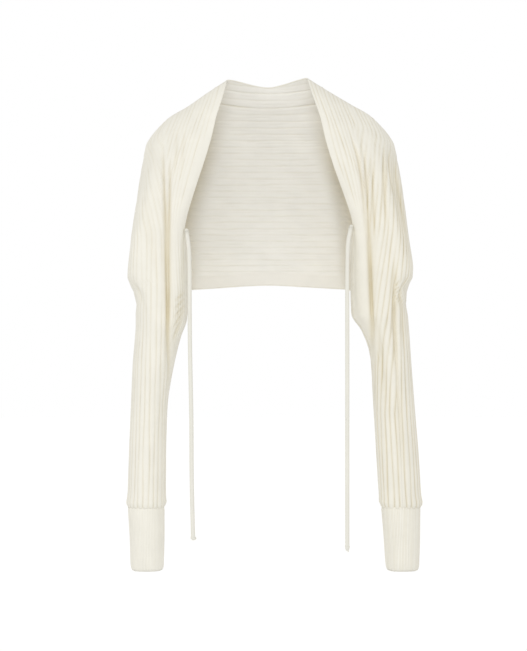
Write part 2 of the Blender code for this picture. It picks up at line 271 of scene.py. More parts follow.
def gridLengths(points):
    # metres along each row from share 0, and metres along each column from its first row
    alongRow = np.linalg.norm(np.diff(points, axis=1), axis=2)
    alongColumn = np.linalg.norm(np.diff(points, axis=0), axis=2)
    acrossMetres = np.concatenate([np.zeros((len(points), 1)), alongRow.cumsum(1)], axis=1)
    downMetres = np.concatenate([np.zeros((1, points.shape[1])), alongColumn.cumsum(0)], axis=0)
    return acrossMetres, downMetres


def wander(a, b, seed):
    # slow uneven drift, mostly between -1 and 1, the same each run
    total = np.zeros(np.broadcast(a, b).shape)
    for k, (fa, fb) in enumerate(((1.0, 0.7), (0.53, -1.31), (1.9, 0.41), (-0.83, 2.17))):
        total = total + np.sin(fa * a + fb * b + seed * (1.7 + k) + k * k)
    return total / 3.0


# The cloth's own surface lies at this share of a rib's height. A groove drifts sideways by up to a share
# of the pitch; the rates say how fast its place and its depth change, from rib to rib and per metre down.
ribLevel = 0.6
grooveDrift = {"most": 0.13, "rates": (2.3, 26.0), "strengthRates": (1.9, 34.0)}


def ribHeight(phase, along, openness, unevenness, seed):
    # 1 on a rib's flat crest, down to 0 in the groove between two, which is wider the more open it is;
    # phase counts ribs, and along is metres down them. Some grooves are nearly closed, as in a real knit.
    index = np.floor(phase)
    each, metre = grooveDrift["rates"]
    shift = grooveDrift["most"] * wander(index * each, along * metre, seed)
    crest = np.abs(np.cos(np.pi * (phase + shift))) ** openness
    each, metre = grooveDrift["strengthRates"]
    strength = 1.0 - unevenness * (0.5 + 0.5 * wander(index * each, along * metre, seed + 5.0))
    return 1.0 - strength * (1.0 - crest)


# How a crease is worked: points along its curve, how squarely its cloth faces, the range and power of
# the taper at its ends, and in widths of its trough how far it reaches and where its ridge lies.
creaseSettings = {"steps": 36, "facing": (0.02, 0.35), "taperEnds": (0.02, 0.98), "taper": 0.75,
                  "reach": 2.2, "ridgeReach": 4.0, "ridgeAt": 1.9, "ridgeWidth": 1.3}


def creaseDepth(points, normals, side, face, creases, settings):
    # metres that the creases go in, and how deep in shade each point lies; a crease is a curve through
    # three (out, up) points, soft at its ends
    out, up = across[side] * points[..., 0], points[..., 2]
    facing = -normals[..., 1] if face == "front" else normals[..., 1]
    seen = ease(*settings["facing"], facing)
    total, shade = np.zeros_like(out), np.zeros_like(out)
    t = np.linspace(0.0, 1.0, settings["steps"])
    for *curve, lip in creases:
        outA, upA, outB, upB, outC, upC, width, depth = np.array(curve) / 1000
        outMid = 2 * outB - 0.5 * (outA + outC)
        upMid = 2 * upB - 0.5 * (upA + upC)
        lineOut = (1 - t) ** 2 * outA + 2 * t * (1 - t) * outMid + t * t * outC
        lineUp = (1 - t) ** 2 * upA + 2 * t * (1 - t) * upMid + t * t * upC
        reach = width * (settings["ridgeReach"] if lip else 1.0) * settings["reach"]
        near = ((out > lineOut.min() - reach) & (out < lineOut.max() + reach)
                & (up > lineUp.min() - reach) & (up < lineUp.max() + reach))
        if not near.any():
            continue
        gapOut = out[near][:, None] - lineOut
        gapUp = up[near][:, None] - lineUp
        nearest = np.argmin(gapOut ** 2 + gapUp ** 2, axis=1)
        pick = np.arange(len(nearest))
        gapOut, gapUp = gapOut[pick, nearest], gapUp[pick, nearest]
        headOut, headUp = np.gradient(lineOut)[nearest], np.gradient(lineUp)[nearest]
        size = np.hypot(headOut, headUp)
        offset = (gapUp * headOut - gapOut * headUp) / size
        beyond = (gapOut * headOut + gapUp * headUp) / size
        isEnd = (nearest == 0) | (nearest == len(t) - 1)
        taper = np.sin(np.pi * np.clip(t[nearest], *settings["taperEnds"])) ** settings["taper"]
        taper = taper * bell(np.where(isEnd, beyond, 0.0), width)
        trough = bell(offset, width)
        shade[near] += min(depth / width, 1.0) * taper * trough
        if lip:
            ridgeGap = offset - np.sign(lip) * settings["ridgeAt"] * width
            trough = trough - abs(lip) * bell(ridgeGap, settings["ridgeWidth"] * width)
        total[near] += depth * taper * trough
    return total * seen, shade * seen


def byHeight(table, up):
    heights, values = np.array(table).T
    return np.interp(up, heights, values)


def clothMesh(name, points, outward, paintedShade, uv, closedFrom=None, capped=False):
    # a grid moved onto the surface, sewn up where its ends meet
    rowCount, columnCount = points.shape[:2]
    shape = bmesh.new()
    bmesh.ops.create_grid(shape, x_segments=columnCount - 1, y_segments=rowCount - 1, size=1.0)
    paintedShadeLayer = shape.verts.layers.float.new("paintedShade")
    uvLayer = shape.loops.layers.uv.new("knit")
    shape.verts.ensure_lookup_table()
    column = [round((v.co.x + 1.0) * 0.5 * (columnCount - 1)) for v in shape.verts]
    row = [round((v.co.y + 1.0) * 0.5 * (rowCount - 1)) for v in shape.verts]
    for face in shape.faces:
        for loop in face.loops:
            i = loop.vert.index
            loop[uvLayer].uv = uv[row[i], column[i]]
    for i, vert in enumerate(shape.verts):
        vert.co = points[row[i], column[i]]
        vert[paintedShadeLayer] = paintedShade[row[i], column[i]]
    if closedFrom is not None:
        ends = [v for i, v in enumerate(shape.verts)
                if row[i] >= closedFrom and column[i] in (0, columnCount - 1)]
        bmesh.ops.remove_doubles(shape, verts=ends, dist=2e-5)
    if capped:
        bmesh.ops.holes_fill(shape, edges=[e for e in shape.edges if e.is_boundary], sides=0)
    bmesh.ops.recalc_face_normals(shape, faces=shape.faces)
    if outward is not None:
        place, direction = Vector(outward[0]), Vector(outward[1])
        middle = min(shape.faces, key=lambda f: (f.calc_center_median() - place).length)
        if middle.normal.dot(direction) < 0:
            bmesh.ops.reverse_faces(shape, faces=shape.faces)
    for face in shape.faces:
        face.smooth = True
    mesh = bpy.data.meshes.new(name)
    shape.to_mesh(mesh)
    shape.free()
    return mesh


def addPiece(name, data, material, slotName, *replaced):
    piece = bpy.data.objects.new(name, data)
    data.materials.append(material)
    bpy.context.scene.collection.objects.link(piece)
    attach(piece, "root")
    if replaced:
        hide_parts(*replaced)
    return piece


def thicken(piece, thickness):
    wall = piece.modifiers.new("wall", "SOLIDIFY")
    wall.thickness = thickness
    wall.offset = 0.0
    wall.use_even_offset = False
    return wall


def flatArea(points):
    a = points[1:, :-1] - points[:-1, :-1]
    b = points[:-1, 1:] - points[:-1, :-1]
    return float(np.linalg.norm(np.cross(a, b), axis=2).sum())


def frameAlong(line):
    # unit heading, side and lift at each point of a line, without twist
    heading = unit(np.gradient(line, axis=0))
    sideways = [unit(np.cross(heading[0], (0.0, -1.0, 0.12)))]
    for step in heading[1:]:
        last = sideways[-1]
        sideways.append(unit(last - step * np.dot(last, step)))
    sideways = np.array(sideways)
    return heading, sideways, np.cross(sideways, heading)


def tubePoints(line, radius, sides):
    # rings of a tube round a line; radius is a number, one for each row, or rows by sides + 1
    angle = np.linspace(0.0, 2 * np.pi, sides + 1)
    _, sideways, lift = frameAlong(line)
    radius = np.broadcast_to(np.asarray(radius, dtype=float).reshape(-1, 1) if np.ndim(radius) < 2
                             else radius, (len(line), sides + 1))
    ring = (np.cos(angle)[None, :, None] * sideways[:, None, :]
            + np.sin(angle)[None, :, None] * lift[:, None, :])
    return line[:, None, :] + ring * radius[..., None]


def addTube(name, line, radius, sides, material, slotName, paintedShade=None, replaced=()):
    points = tubePoints(line, radius, sides)
    arc, down = gridLengths(points)
    shade = np.zeros(points.shape[:2]) if paintedShade is None else paintedShade
    mesh = clothMesh(name, points, None, shade, np.stack([arc, down], axis=-1), 0, capped=True)
    return addPiece(name, mesh, material, slotName, *replaced)


def linearColour(hexText):
    parts = [int(hexText[i:i + 2], 16) / 255 for i in (1, 3, 5)]
    return [c / 12.92 if c <= 0.04045 else ((c + 0.055) / 1.055) ** 2.4 for c in parts] + [1.0]


def addNode(tree, kind, settings=None):
    # a setting is a property of the node, a value for one of its inputs, or a socket to link there
    node = tree.nodes.new("ShaderNode" + kind)
    for key, value in (settings or {}).items():
        if isinstance(value, bpy.types.NodeSocket):
            tree.links.new(value, node.inputs[key])
        elif isinstance(key, str) and hasattr(node, key):
            setattr(node, key, value)
        else:
            node.inputs[key].default_value = value
    return node


def knitMaterial(name, look):
    # Fine wool and viscose knit, matt: loose fibres give a soft edge. Grooves, creases and folds get painted
    # shade, warm and dim, from a vertex attribute.
    material = bpy.data.materials.new(name)
    material.use_nodes = True
    tree = material.node_tree
    shader = tree.nodes["Principled BSDF"]
    for socketName, value in look["surface"].items():
        shader.inputs[socketName].default_value = value
    shader.inputs["Sheen Tint"].default_value = linearColour(look["crest"])

    # each V of a stitch is one wale wide and one course tall
    uvMap = addNode(tree, "UVMap", {"uv_map": "knit"})
    parts = addNode(tree, "SeparateXYZ", {0: uvMap.outputs[0]})
    place = addNode(tree, "TexCoord").outputs["Object"]
    fuzz = addNode(tree, "TexNoise", {"Scale": 1.0 / look["fuzz"], "Detail": look["fuzzDetail"],
                                      "Vector": place})
    sockets = {"across": parts.outputs[0], "down": parts.outputs[1], "fuzz": fuzz.outputs["Fac"]}
    for result, operation, *values in (
            ("wales", "MULTIPLY", "across", 1.0 / look["wale"]),
            ("wale", "FRACT", "wales"),
            ("aside", "SUBTRACT", "wale", 0.5),
            ("slant", "ABSOLUTE", "aside"),
            ("lean", "MULTIPLY", "slant", look["lean"]),
            ("course", "MULTIPLY_ADD", "down", 1.0 / look["course"], "lean"),
            ("courseTurn", "MULTIPLY", "course", 2 * np.pi),
            ("bead", "SINE", "courseTurn"),
            ("waleTurn", "MULTIPLY", "wale", np.pi),
            ("waleRound", "SINE", "waleTurn"),
            ("stitch", "MULTIPLY_ADD", "bead", look["bead"], "waleRound"),
            ("stitchHeight", "MULTIPLY", "stitch", look["stitchHeight"]),
            ("height", "MULTIPLY_ADD", "fuzz", look["fuzzHeight"], "stitchHeight")):
        inputs = {i: sockets.get(value, value) for i, value in enumerate(values)}
        sockets[result] = addNode(tree, "Math", {"operation": operation, **inputs}).outputs[0]
    bump = addNode(tree, "Bump", {"Strength": look["bump"], "Distance": look["stitchDepth"],
                                  "Height": sockets["height"]})
    tree.links.new(bump.outputs["Normal"], shader.inputs["Normal"])

    # painted shade: the attribute mixes the crest colour towards the shade colour, and on the purl side the
    # painted shade where the fronts enclose the back adds to it
    shade = addNode(tree, "Attribute", {"attribute_name": "paintedShade"}).outputs["Fac"]
    if look["paintedEnclosedShade"]:
        inside = addNode(tree, "Attribute", {"attribute_name": "paintedEnclosedShade"}).outputs["Fac"]
        dim = addNode(tree, "Math", {"operation": "MULTIPLY", 0: inside, 1: look["paintedEnclosedShade"]}).outputs[0]
        shade = addNode(tree, "Math", {"operation": "MAXIMUM", 0: shade, 1: dim}).outputs[0]
    mixed = addNode(tree, "Mix", {"data_type": "RGBA", 6: linearColour(look["crest"]),
                                  7: linearColour(look["paintedShade"]), 0: shade})
    cloud = addNode(tree, "TexNoise", {"Scale": 1.0 / look["cloud"], "Detail": look["cloudDetail"],
                                       "Vector": place})
    low, high = look["cloudRange"]
    drift = addNode(tree, "MapRange", {1: low, 2: high, 3: 1.0 - look["drift"], 4: 1.0,
                                       0: cloud.outputs["Fac"]})
    toned = addNode(tree, "Mix", {"data_type": "RGBA", "blend_type": "MULTIPLY", 0: 1.0,
                                  6: mixed.outputs[2], 7: drift.outputs[0]})
    tree.links.new(toned.outputs[2], shader.inputs["Base Color"])
    return material


# A real wale is 1.5 mm wide. It is drawn a third wider, so that it shows at all.
# the crest is the knit's own colour; the second, warmer and darker colour is painted shade
ribKnitLook = {
    "surface": {"Roughness": 0.93, "IOR": 1.5, "Specular IOR Level": 0.25, "Sheen Weight": 0.12,
                "Sheen Roughness": 0.55},
    "crest": "#F4F1E6", "paintedShade": "#D4C7A2", "paintedEnclosedShade": 0.0, "wale": 0.0020, "course": 0.0017,
    "lean": 1.4, "bead": 0.35, "stitchHeight": 0.5, "stitchDepth": 0.00035, "bump": 0.45,
    "fuzz": 0.0008, "fuzzHeight": 0.5, "fuzzDetail": 3.0,
    "cloud": 0.035, "cloudDetail": 4.0, "cloudRange": (0.35, 0.65), "drift": 0.03,
}
fineRibLook = dict(ribKnitLook, paintedShade="#D2C7A8", wale=0.0026, course=0.0016)
# the back shows its purl side, painted a little paler as painted light for its shaded inside, and with
# painted shade where the fronts enclose it
purlPaintedLook = dict(ribKnitLook, crest="#FCFAF4", paintedShade="#DCD3BC", paintedEnclosedShade=0.78)
cordLook = dict(ribKnitLook, crest="#ECEAE0", paintedShade="#C4BFA6", wale=0.0019, course=0.0019, bump=0.6)
ribKnit = knitMaterial("ribKnitIvory", ribKnitLook)
purlPaintedKnit = knitMaterial("ribKnitIvoryPurlPainted", purlPaintedLook)
fineRib = knitMaterial("fineRibIvory", fineRibLook)
knittedCord = knitMaterial("knittedCordIvory", cordLook)
print("materials made")


# Ties: round knitted cords with the channel that such a tube has along one side, knotted at the end.
tieSettings = {
    "rows": 230, "rowPower": 1.25, "sides": 24, "radius": 0.0033,   # the rows lie closest at the root
    # the channel, in degrees round the cord: its middle, how far and how fast that turns, its spread
    "channel": (-78.0, 9.0, 17.0, 13.0), "channelDepth": 0.00045,
    "stitchSwell": 0.00009, "stitchLength": 0.0052,
    "endShare": 0.55, "endReach": 0.0028,   # the ends narrow to this share of the radius, over this length
    "length": {"right": 0.492, "left": 0.515},
    # knot: metres above the end, turns, ring radius, strand radius, rise and offset outwards
    "knot": {"right": (0.0035, 1.3, 0.0026, 0.0021, 0.0022, 0.0005),
             "left": (0.0065, 1.2, 0.0023, 0.0017, 0.0030, 0.0000)},
    # steps along it, where it begins in radians, its wave, the strand's share at its ends, and sides
    "knotShape": (44, -2.2, 0.0006, 0.62, 12),
    # tail: offset outwards and drop of each short end under the knot
    "tail": {"right": (), "left": ((-0.0011, -0.0020), (0.0012, -0.0042))},
    # steps along it, offset back and up, spread, radius, how much thinner it ends, and sides
    "tailShape": (9, -0.0004, 0.002, 0.3, 0.0013, 0.35, 10),
}


def smoothRoute(route, settings):
    route = np.array(route)
    gone = lengthAlong(route)
    heading = np.gradient(route, gone, axis=0)
    where = gone[-1] * np.linspace(0.0, 1.0, settings["rows"]) ** settings["rowPower"]
    cell = np.clip(np.searchsorted(gone, where, side="right") - 1, 0, len(gone) - 2)
    span = (gone[cell + 1] - gone[cell])[:, None]
    return hermite(route[cell], heading[cell] * span, route[cell + 1], heading[cell + 1] * span,
                   (where - gone[cell])[:, None] / span)


def knot(side, line, settings):
    # one turn of the cord round itself, pulled tight
    above, turns, ringRadius, strand, rise, outwards = settings["knot"][side]
    steps, begin, wave, least, sides = settings["knotShape"]
    t = np.linspace(0.0, 1.0, steps)
    angle = 2 * np.pi * turns * t + begin
    middle = line[-1] + np.array([outwards, 0.0, above])
    turn = np.stack([np.cos(angle) * ringRadius, np.sin(angle) * ringRadius,
                     rise * (t - 0.5) + wave * np.sin(angle)], axis=-1)
    swell = strand * (least + (1.0 - least) * np.sin(np.pi * t) ** 0.5)
    return addTube("knot_" + side, middle + turn, swell, sides, knittedCord, "knitted_cord")


def tailEnds(side, line, settings):
    # the short ends that show under the knot
    steps, back, above, spread, radius, thinning, sides = settings["tailShape"]
    t = np.linspace(0.0, 1.0, steps)[:, None]
    thin = radius * (1.0 - thinning * t[:, 0] ** 2)
    ends = []
    for number, (outwards, drop) in enumerate(settings["tail"][side]):
        start = line[-1] + np.array([outwards, back, above])
        end = start + t * np.array([outwards * spread, 0.0, drop])
        ends.append(addTube(f"tail_{side}_{number}", end, thin, sides, knittedCord, "knitted_cord"))
    return ends


def tie(side, settings):
    line = smoothRoute(tieRoutes[side], settings)
    gone = lengthAlong(line)
    angle = np.linspace(0.0, 360.0, settings["sides"] + 1)[None, :]
    middle, turn, rate, spread = settings["channel"]
    channel = middle + turn * np.sin(gone * rate + across[side])[:, None]
    gap = (angle - channel + 180.0) % 360.0 - 180.0
    dip = bell(gap, spread)
    swell = np.sin(2 * np.pi * gone / settings["stitchLength"])[:, None] * (1 - dip)
    radius = settings["radius"] - settings["channelDepth"] * dip + settings["stitchSwell"] * swell
    toEnd = np.minimum(gone, gone[-1] - gone)[:, None]
    share = settings["endShare"]
    radius = radius * (share + (1.0 - share) * ease(0.0, settings["endReach"], toEnd))
    # the channel is also painted darker, as painted shade
    piece = addTube("cord_" + side, line, radius, settings["sides"], knittedCord, "knitted_cord",
                    dip, ("tie_" + side,))
    extras = [knot(side, line, settings)] + tailEnds(side, line, settings)
    print("tie", side, round(gone[-1], 4))
    return line


tieLines = {side: tie(side, tieSettings) for side in across}


# Creases, in millimetres: three (out, up) points along the middle of a trough, its width and depth.
# Last comes the share of a ridge beside it, away from the body if positive.
sleeveSettings = {
    "columns": 400, "yokeRows": 46, "wall": 0.0012, "seed": {"right": 1.0, "left": 4.0},
    "frontFiner": ((0.0, 0.54, 0.60, 1.0), (0.0, 0.42, 0.475, 1.0)),   # more of the columns lie in front
    # the rows lie closest at the elbow and where the cloth gathers over the cuff
    "heights": np.concatenate([np.linspace(-0.2405, -0.3220, 10), np.linspace(-0.3255, -0.4165, 27),
                               np.linspace(-0.4290, -0.6450, 16), np.linspace(-0.6490, -0.6795, 16)]),
    # tables of pairs give a value at each height, for each side where the sides differ
    "pitch": {"right": ((-0.45, 0.0083), (-0.25, 0.0078), (-0.15, 0.0078), (0.0, 0.0090)),
              "left": ((-0.70, 0.0090), (-0.45, 0.0086), (-0.33, 0.0076), (-0.20, 0.0071), (0.0, 0.0084))},
    "ribDepth": {"right": ((-0.68, 0.0014), (-0.45, 0.0013), (-0.28, 0.0011), (0.0, 0.0009)),
                 "left": ((-0.45, 0.0020), (-0.28, 0.0016), (0.0, 0.0012))},
    "crowded": (0.0032, 0.0056),   # ribs closer than this fade out
    # beyond the deep fold the ribs follow a guide from this height on, and slip in as they go down
    "followFrom": -0.075, "followBlend": 0.025, "foldBlend": (-0.003, 0.004),
    "guideOut": {"right": ((-0.68, 0.1935), (-0.48, 0.1900), (-0.345, 0.1885), (-0.24, 0.1895),
                           (-0.11, 0.1925), (0.1, 0.1950)),
                 "left": ((-0.68, 0.2060), (-0.60, 0.2030), (-0.45, 0.1970), (-0.33, 0.1930),
                          (-0.24, 0.1900), (-0.15, 0.1850), (0.1, 0.1700))},
    "fan": 0.35,
    # the wearer's left sleeve hangs over at the elbow and hides the ribs' turn: outside this line they
    # run straighter
    "elbowFold": {"left": ((-0.68, 0.2140), (-0.60, 0.2110), (-0.465, 0.2035), (-0.385, 0.2000),
                           (-0.315, 0.1995))},
    "elbowBlend": 0.002, "straighten": ((-0.352, 0.70), (-0.322, 0.0)),
    # the outer side lies in a little: behind the shoulder, under the elbow's overhang, down the forearm
    "tuckFacing": (0.15, 0.80),
    "tuckIn": {
        "right": ((-0.68, 0.0), (-0.655, 0.0020), (-0.372, 0.0020), (-0.352, 0.0042), (-0.338, 0.0092),
                  (-0.326, 0.0058), (-0.315, 0.0010), (-0.300, 0.0), (-0.250, 0.0), (-0.220, 0.0025),
                  (-0.190, 0.0052), (-0.150, 0.0058), (-0.125, 0.0048), (-0.100, 0.0)),
        "left": ((-0.68, 0.0), (-0.655, 0.0018), (-0.372, 0.0012), (-0.352, 0.0026), (-0.338, 0.0088),
                 (-0.326, 0.0078), (-0.315, 0.0018), (-0.300, 0.0), (-0.250, 0.0), (-0.220, 0.0014),
                 (-0.190, 0.0034), (-0.150, 0.0044), (-0.125, 0.0040), (-0.100, 0.0))},
    # the front edge reaches in to a straighter line, over this much of the cloth beside it
    "edgeIn": {
        "right": ((-0.80, 0.0), (-0.250, 0.0), (-0.222, 0.0014), (-0.194, 0.0030), (-0.165, 0.0045),
                  (-0.127, 0.0056), (-0.100, 0.0050), (-0.080, 0.0034), (-0.061, 0.0014),
                  (-0.040, 0.0010), (0.0, 0.0), (0.1, 0.0)),
        "left": ((-0.80, 0.0), (-0.250, 0.0), (-0.222, 0.0014), (-0.194, 0.0036), (-0.165, 0.0056),
                 (-0.137, 0.0066), (-0.105, 0.0056), (-0.080, 0.0030), (-0.060, 0.0005),
                 (0.0, 0.0), (0.1, 0.0))},
    "edgeReach": 0.032,
    "slip": {"right": ((-0.25, 0.036), (-0.07, 0.0)),
             "left": ((-0.53, 0.066), (-0.45, 0.058), (-0.24, 0.019), (-0.07, 0.0))},
    "foldOut": {"right": ((-0.48, 0.1560), (-0.345, 0.1577), (-0.24, 0.1595), (-0.11, 0.1625), (0.1, 0.165)),
                "left": ((-0.45, 0.1650), (-0.33, 0.1605), (-0.225, 0.1535), (-0.15, 0.1440), (0.1, 0.118))},
    "plainEdge": {"right": ((-0.27, 0.003), (-0.245, 0.017), (-0.11, 0.015), (-0.04, 0.005), (0.0, 0.004)),
                  "left": ((-0.46, 0.003), (-0.42, 0.036), (-0.36, 0.052), (-0.25, 0.048), (-0.205, 0.016),
                           (-0.11, 0.006), (0.0, 0.003))},
    "plainHem": 0.023, "plainSeam": 0.003, "plainBlend": (0.7, 1.2),
    "unevenness": ((-0.68, 0.45), (-0.42, 0.50), (-0.32, 0.70)),
    "openness": {"right": 0.5, "left": 0.58},
    "ribShade": {"right": ((-0.45, 0.62), (-0.30, 0.48)), "left": ((-0.20, 1.0), (-0.08, 0.7))},
    "shadePower": 1.15, "creaseShade": 0.38,
    # painted shade: the wearer's left sleeve is painted a little darker all over, fading out towards the
    # shoulder
    "paintedSideShade": {"right": ((0.0, 0.0),), "left": ((-0.22, 0.06), (-0.10, 0.0))},
    # the gathered end: between which depths its ribs deepen, and by how much; its swell over the cuff,
    # even and uneven, with the rate, height and width; and its tuck where it is sewn
    "gather": (0.658, 0.671), "gatherDeeper": 0.4, "swell": (0.0002, 0.0009, 160.0, -0.6700, 0.0048),
    "endTuck": (0.0006, 0.6735, 0.6795),
    # ridges, as height, place and width: the dips along the shoulder seam and along the sleeve seam
    "shoulderDip": (-0.0003, 0.0, 0.0022), "seamDip": (-0.0006, 0.0, 0.0018),
    "front": {
        "right": (
            (161, -165, 159, -295, 157.5, -440, 8.5, 3.8, 0.0),
            (167, -108, 164, -172, 160, -260, 2.2, 3.4, 0.4),
            (154.5, -128, 155, -190, 155.2, -275, 2.2, 3.4, 0.3),
            (160, -185, 158.2, -290, 157.2, -400, 4.8, 4, 0.0),
            (158, -330, 157.2, -410, 156.5, -510, 2.4, 3.4, 0.0),
            (156, -260, 154.8, -350, 155.6, -470, 1.5, 1.8, 0.0),
            (162, -250, 160.2, -330, 158.8, -440, 1.5, 2, 0.3),
            (145.5, -82, 145.2, -118, 147.8, -158, 2.4, 1.3, 0.0),
            (133, -80, 134.5, -122, 139, -165, 2.4, 1, 0.0),
            (216, -322, 207, -340, 190, -372, 3.4, 0.9, 0.0),
            (196, -180, 186, -245, 175, -320, 6, 1.6, 0.0),
            (147, -353, 140, -346, 132, -338, 1.8, 1.8, 0.0),
            (147.5, -366, 140, -357, 131, -347, 1.8, 2, 0.0),
            (147.5, -379, 140, -368, 130, -356, 1.8, 2, 0.0),
            (149, -396, 141, -380, 132, -366, 1.8, 2, 0.0),
            (151, -416, 144, -397, 137, -380, 1.8, 1.8, 0.0),
        ),
        "left": (
            (159, -185, 162.5, -295, 165.5, -420, 8.5, 3.8, 0.0),
            (132.1, -98, 145.5, -150, 153, -250, 2.4, 3.8, 0.4),
            (150, -110, 155.5, -178, 157.5, -266, 2.2, 3.4, 0.3),
            (156.5, -215, 161, -315, 164.5, -465, 4, 3.8, 0.0),
            (154.5, -250, 159, -335, 162.5, -440, 1.5, 1.8, 0.0),
            (160, -270, 163.5, -345, 166.5, -430, 1.5, 1.6, 0.3),
            (164, -128, 165.5, -190, 167.5, -260, 2, 2.4, 0.0),
            (185, -105, 183, -170, 187, -235, 2.6, 3.2, 0.3),
            (193, -108, 195, -150, 199.5, -185, 2.2, 2.4, 0.3),
            (196, -105, 207, -190, 221.5, -295, 7, 4, 0.0),
            (204, -120, 213, -185, 220, -250, 2.2, 2.6, 0.3),
            (199, -290, 199, -375, 203, -475, 3.8, 6.2, 0.3),
            (202, -430, 206.5, -530, 212, -640, 3, 2, 0.0),
            (210.5, -330, 211, -380, 213, -430, 2.6, 2.2, 0.0),
            (222, -318, 212, -335, 201, -372, 3.4, 2.2, 0.3),
            (170, -380, 178, -440, 185, -520, 5, 2.4, 0.0),
        ),
    },
    "back": {
        "right": (
            (176, -150, 187, -240, 183, -330, 8, 6, 0.3),
            (150, -300, 170, -352, 198, -385, 6, 5, 0.3),
            (165, -360, 175, -400, 198, -430, 5.5, 3.2, 0.0),
            (200, -210, 203, -270, 199, -335, 5, 3, 0.0),
        ),
        "left": (
            (180, -140, 192, -230, 189, -325, 8, 6, 0.3),
            (155, -310, 175, -358, 203, -388, 6, 5, 0.3),
            (173, -366, 183, -402, 206, -436, 5.5, 3.4, 0.0),
            (206, -200, 209, -265, 205, -340, 5, 3, 0.0),
        ),
    },
}


frontColumns = (4, 200)   # the sleeve's columns that lie in front, without its very edge


def arcAt(out, up, arc, line):
    # metres along each row to where its front crosses a line of (height, distance out) points
    first, last = frontColumns
    gap = (out - byHeight(line, up))[:, first:last]
    crossed = (gap[:, :-1] < 0.0) & (gap[:, 1:] >= 0.0)
    column = np.where(crossed.any(axis=1), crossed.argmax(axis=1), np.abs(gap[:, :-1]).argmin(axis=1))
    row = np.arange(len(out))
    before, after = gap[row, column], gap[row, column + 1]
    t = np.clip(before / np.where(np.abs(before - after) < 1e-9, 1e-9, before - after), 0.0, 1.0)
    column = column + first
    return (arc[row, column] * (1.0 - t) + arc[row, column + 1] * t)[:, None]


def sleeve(side, settings):
    shares = np.interp(np.linspace(0.0, 1.0, settings["columns"] + 1), *settings["frontFiner"])
    yoke = settings["yokeRows"]
    points = sleeveSurface(side, shares, yoke, settings["heights"])
    area = flatArea(points)
    normals = -across[side] * gridNormals(points, yoke)
    arc, down = gridLengths(points)
    out, up = across[side] * points[..., 0], points[..., 2]
    seed = settings["seed"][side]

    rowUp = up[:, :len(shares) // 3].mean(axis=1)
    pitch = byHeight(settings["pitch"][side], rowUp)[:, None]
    foldArc = arcAt(out, up, arc, settings["foldOut"][side])
    guideArc = arcAt(out, up, arc, settings["guideOut"][side])
    start = np.argmin(np.abs(rowUp - settings["followFrom"]))
    follow = ease(-settings["followBlend"], settings["followBlend"], settings["followFrom"] - rowUp)[:, None]
    slip = byHeight(settings["slip"][side], rowUp)[:, None]
    if side in settings["elbowFold"]:
        elbowArc = arcAt(out, up, arc, settings["elbowFold"][side])
        outside = ease(elbowArc - settings["elbowBlend"], elbowArc + settings["elbowBlend"], arc)
        slip = slip * (1.0 - byHeight(settings["straighten"], rowUp)[:, None] * outside)
    guided = guideArc[start] / pitch[start] + (arc - guideArc + slip) / pitch
    fanned = settings["fan"] * np.maximum(foldArc[start] - foldArc, 0.0) * follow
    fanned = fanned * np.clip(arc / np.maximum(foldArc, 1e-3), 0.0, 1.0) ** 2
    before, after = settings["foldBlend"]
    past = ease(foldArc + before, foldArc + after, arc) * follow
    phase = (arc + fanned) / pitch * (1.0 - past) + guided * past
    ribs = ribHeight(phase, down, settings["openness"][side], byHeight(settings["unevenness"], up), seed)
    crowding = np.abs(np.gradient(phase, axis=1)) / np.maximum(np.gradient(arc, axis=1), 1e-9)
    ribbed = ease(*settings["crowded"], 1.0 / np.maximum(crowding, 1.0))

    # the ribs stop short of the front edge, the hem and the sleeve seam
    isYoke = (np.arange(len(points)) < yoke)[:, None]
    begin, full = settings["plainBlend"]
    for plain, gap in ((byHeight(settings["plainEdge"][side], up), arc),
                       (np.where(isYoke, settings["plainHem"], settings["plainSeam"]), arc[:, -1:] - arc)):
        ribbed = ribbed * ease(begin * plain, full * plain, gap)
    gathered = ease(*settings["gather"], -up)
    depth = byHeight(settings["ribDepth"][side], up) * (1.0 + settings["gatherDeeper"] * gathered)
    lift = depth * ribbed * (ribs - ribLevel)

    shaded = np.zeros_like(lift)
    for face in ("front", "back"):
        creased, shade = creaseDepth(points, normals, side, face, settings[face][side], creaseSettings)
        lift -= creased
        shaded += settings["creaseShade"] * shade
    facingOut = ease(*settings["tuckFacing"], across[side] * normals[..., 0])
    lift -= byHeight(settings["tuckIn"][side], up) * facingOut
    even, uneven, rate, swellUp, width = settings["swell"]
    lift += ridge(up, even + uneven * wander(arc * rate, seed, seed), swellUp, width)
    tuck, begin, full = settings["endTuck"]
    lift -= tuck * ease(begin, full, -up)
    lift += ridge(down, *settings["shoulderDip"])
    seamGap = np.minimum(arc, arc[:, -1:] - arc)
    lift += np.where(isYoke, 0.0, ridge(seamGap, *settings["seamDip"]))
    points = points + normals * lift[..., None]
    edgeIn = smooth(*np.array(settings["edgeIn"][side]).T, up)
    points[..., 0] -= across[side] * (edgeIn * (1.0 - ease(0.0, settings["edgeReach"], arc)))
    joined = 0.5 * (points[yoke:, 0] + points[yoke:, -1])
    points[yoke:, 0] = points[yoke:, -1] = joined

    # painted shade: rib grooves and creases are painted darker, and the wearer's left sleeve a little all
    # over
    paintedShade = byHeight(settings["ribShade"][side], up) * ribbed
    paintedShade = paintedShade * np.clip(1.0 - ribs, 0.0, 1.0) ** settings["shadePower"]
    paintedShade = np.clip(paintedShade + byHeight(settings["paintedSideShade"][side], up) + shaded, 0.0, 1.0)
    middle = (points[yoke, len(shares) // 4], normals[yoke, len(shares) // 4])
    mesh = clothMesh("shrug_sleeve_" + side, points, middle, paintedShade, np.stack([arc, down], axis=-1), yoke)
    piece = addPiece("sleeve_" + side, mesh, ribKnit, "rib_knit", "front_sleeve_" + side,
                     "sleeve_elbow_" + side, "sleeve_forearm_" + side)
    thicken(piece, settings["wall"])
    print("sleeve", side, "area", round(area, 4))
    return piece, points


sleeves = {side: sleeve(side, sleeveSettings) for side in across}


